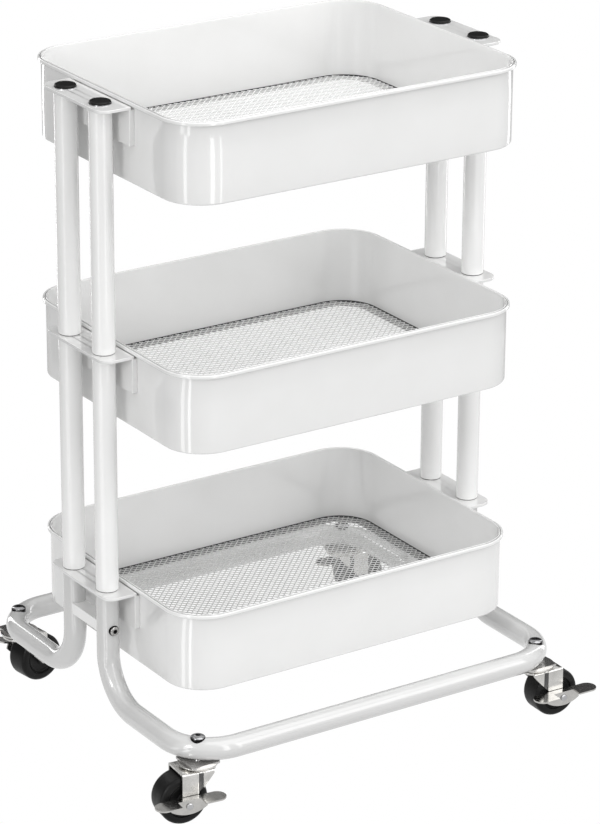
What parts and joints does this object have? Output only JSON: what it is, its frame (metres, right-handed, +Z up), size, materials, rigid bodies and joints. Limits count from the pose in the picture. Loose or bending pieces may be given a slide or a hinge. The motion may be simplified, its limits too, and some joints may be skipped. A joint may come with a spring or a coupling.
{
  "type": "rolling utility cart",
  "caption": "White steel rolling utility cart with open mesh-floored trays between paired round posts and small braked swivel casters.",
  "frame": {"origin": "on the floor, midway between the posts in plan", "axes": "+Z up; +X to the right along the trays' length, from one post pair to the other; -Y towards the front"},
  "size_m": [0.5098, 0.4217, 0.669],
  "materials": {
    "powder_white": "gloss white powder coat",
    "zinc_steel": "bright zinc plating",
    "dark_chrome": "polished, dark chrome",
    "black_plastic": "black, glossy",
    "black_nylon": "black, smooth, slightly glossy"
  },
  "bodies": {
    "cart_frame": {"basket_top": "powder_white", "mesh_floor_top": "powder_white", "bracket_top_left": "powder_white", "bracket_top_right": "powder_white", "basket_middle": "powder_white", "mesh_floor_middle": "powder_white", "bracket_middle_left": "powder_white", "bracket_middle_right": "powder_white", "basket_bottom": "powder_white", "mesh_floor_bottom": "powder_white", "bracket_bottom_left": "powder_white", "bracket_bottom_right": "powder_white", "post_upper_front_left": "powder_white", "post_upper_front_right": "powder_white", "post_upper_rear_left": "powder_white", "post_upper_rear_right": "powder_white", "post_lower_front_left": "powder_white", "post_lower_front_right": "powder_white", "post_lower_rear_left": "powder_white", "post_lower_rear_right": "powder_white", "base_tube_front": "powder_white", "base_tube_rear": "powder_white", "crossbar_left": "powder_white", "crossbar_right": "powder_white", "crossbar_screws": "zinc_steel", "post_caps": "black_plastic", "cap_washers": "zinc_steel", "cap_studs": "zinc_steel", "joint_studs": "zinc_steel", "caster_stems": "zinc_steel", "caster_nuts": "dark_chrome", "mounting_plates": "zinc_steel", "bearing_cups": "zinc_steel"},
    "caster_front_left": {"fork_front_left": "zinc_steel", "axle_front_left": "zinc_steel"},
    "rolling_wheel_front_left": {"wheel_front_left": "black_nylon"},
    "brake_front_left": {"brake_lever_front_left": "zinc_steel"},
    "caster_front_right": {"fork_front_right": "zinc_steel", "axle_front_right": "zinc_steel"},
    "rolling_wheel_front_right": {"wheel_front_right": "black_nylon"},
    "brake_front_right": {"brake_lever_front_right": "zinc_steel"},
    "caster_rear_left": {"fork_rear_left": "zinc_steel", "axle_rear_left": "zinc_steel"},
    "rolling_wheel_rear_left": {"wheel_rear_left": "black_nylon"},
    "brake_rear_left": {"brake_lever_rear_left": "zinc_steel"},
    "caster_rear_right": {"fork_rear_right": "zinc_steel", "axle_rear_right": "zinc_steel"},
    "rolling_wheel_rear_right": {"wheel_rear_right": "black_nylon"},
    "brake_rear_right": {"brake_lever_rear_right": "zinc_steel"}
  },
  "joints": [
    {"name": "swivel_front_left", "type": "hinge", "parent": "cart_frame", "child": "caster_front_left", "pos_m": [-0.19694, -0.17194, 0.055], "axis": [0, 0, 1], "continuous": true},
    {"name": "roll_front_left", "type": "hinge", "parent": "caster_front_left", "child": "rolling_wheel_front_left", "pos_m": [-0.2163, -0.16956, 0.0245], "axis": [-0.1219, -0.9925, 0], "continuous": true},
    {"name": "brake_rock_front_left", "type": "hinge", "parent": "caster_front_left", "child": "brake_front_left", "pos_m": [-0.2163, -0.16956, 0.0245], "axis": [-0.1219, -0.9925, 0], "range_deg": [0, 18]},
    {"name": "swivel_front_right", "type": "hinge", "parent": "cart_frame", "child": "caster_front_right", "pos_m": [0.19694, -0.17194, 0.055], "axis": [0, 0, 1], "continuous": true},
    {"name": "roll_front_right", "type": "hinge", "parent": "caster_front_right", "child": "rolling_wheel_front_right", "pos_m": [0.21643, -0.17262, 0.0245], "axis": [0.0349, 0.9994, 0], "continuous": true},
    {"name": "brake_rock_front_right", "type": "hinge", "parent": "caster_front_right", "child": "brake_front_right", "pos_m": [0.21643, -0.17262, 0.0245], "axis": [0.0349, 0.9994, 0], "range_deg": [0, 18]},
    {"name": "swivel_rear_left", "type": "hinge", "parent": "cart_frame", "child": "caster_rear_left", "pos_m": [-0.19694, 0.17194, 0.055], "axis": [0, 0, 1], "continuous": true},
    {"name": "roll_rear_left", "type": "hinge", "parent": "caster_rear_left", "child": "rolling_wheel_rear_left", "pos_m": [-0.17763, 0.17466, 0.0245], "axis": [-0.1392, 0.9903, 0], "continuous": true},
    {"name": "brake_rock_rear_left", "type": "hinge", "parent": "caster_rear_left", "child": "brake_rear_left", "pos_m": [-0.17763, 0.17466, 0.0245], "axis": [-0.1392, 0.9903, 0], "range_deg": [-18, 0]},
    {"name": "swivel_rear_right", "type": "hinge", "parent": "cart_frame", "child": "caster_rear_right", "pos_m": [0.19694, 0.17194, 0.055], "axis": [0, 0, 1], "continuous": true},
    {"name": "roll_rear_right", "type": "hinge", "parent": "caster_rear_right", "child": "rolling_wheel_rear_right", "pos_m": [0.21637, 0.17024, 0.0245], "axis": [0.0872, 0.9962, 0], "continuous": true},
    {"name": "brake_rock_rear_right", "type": "hinge", "parent": "caster_rear_right", "child": "brake_rear_right", "pos_m": [0.21637, 0.17024, 0.0245], "axis": [0.0872, 0.9962, 0], "range_deg": [0, 18]}
  ]
}
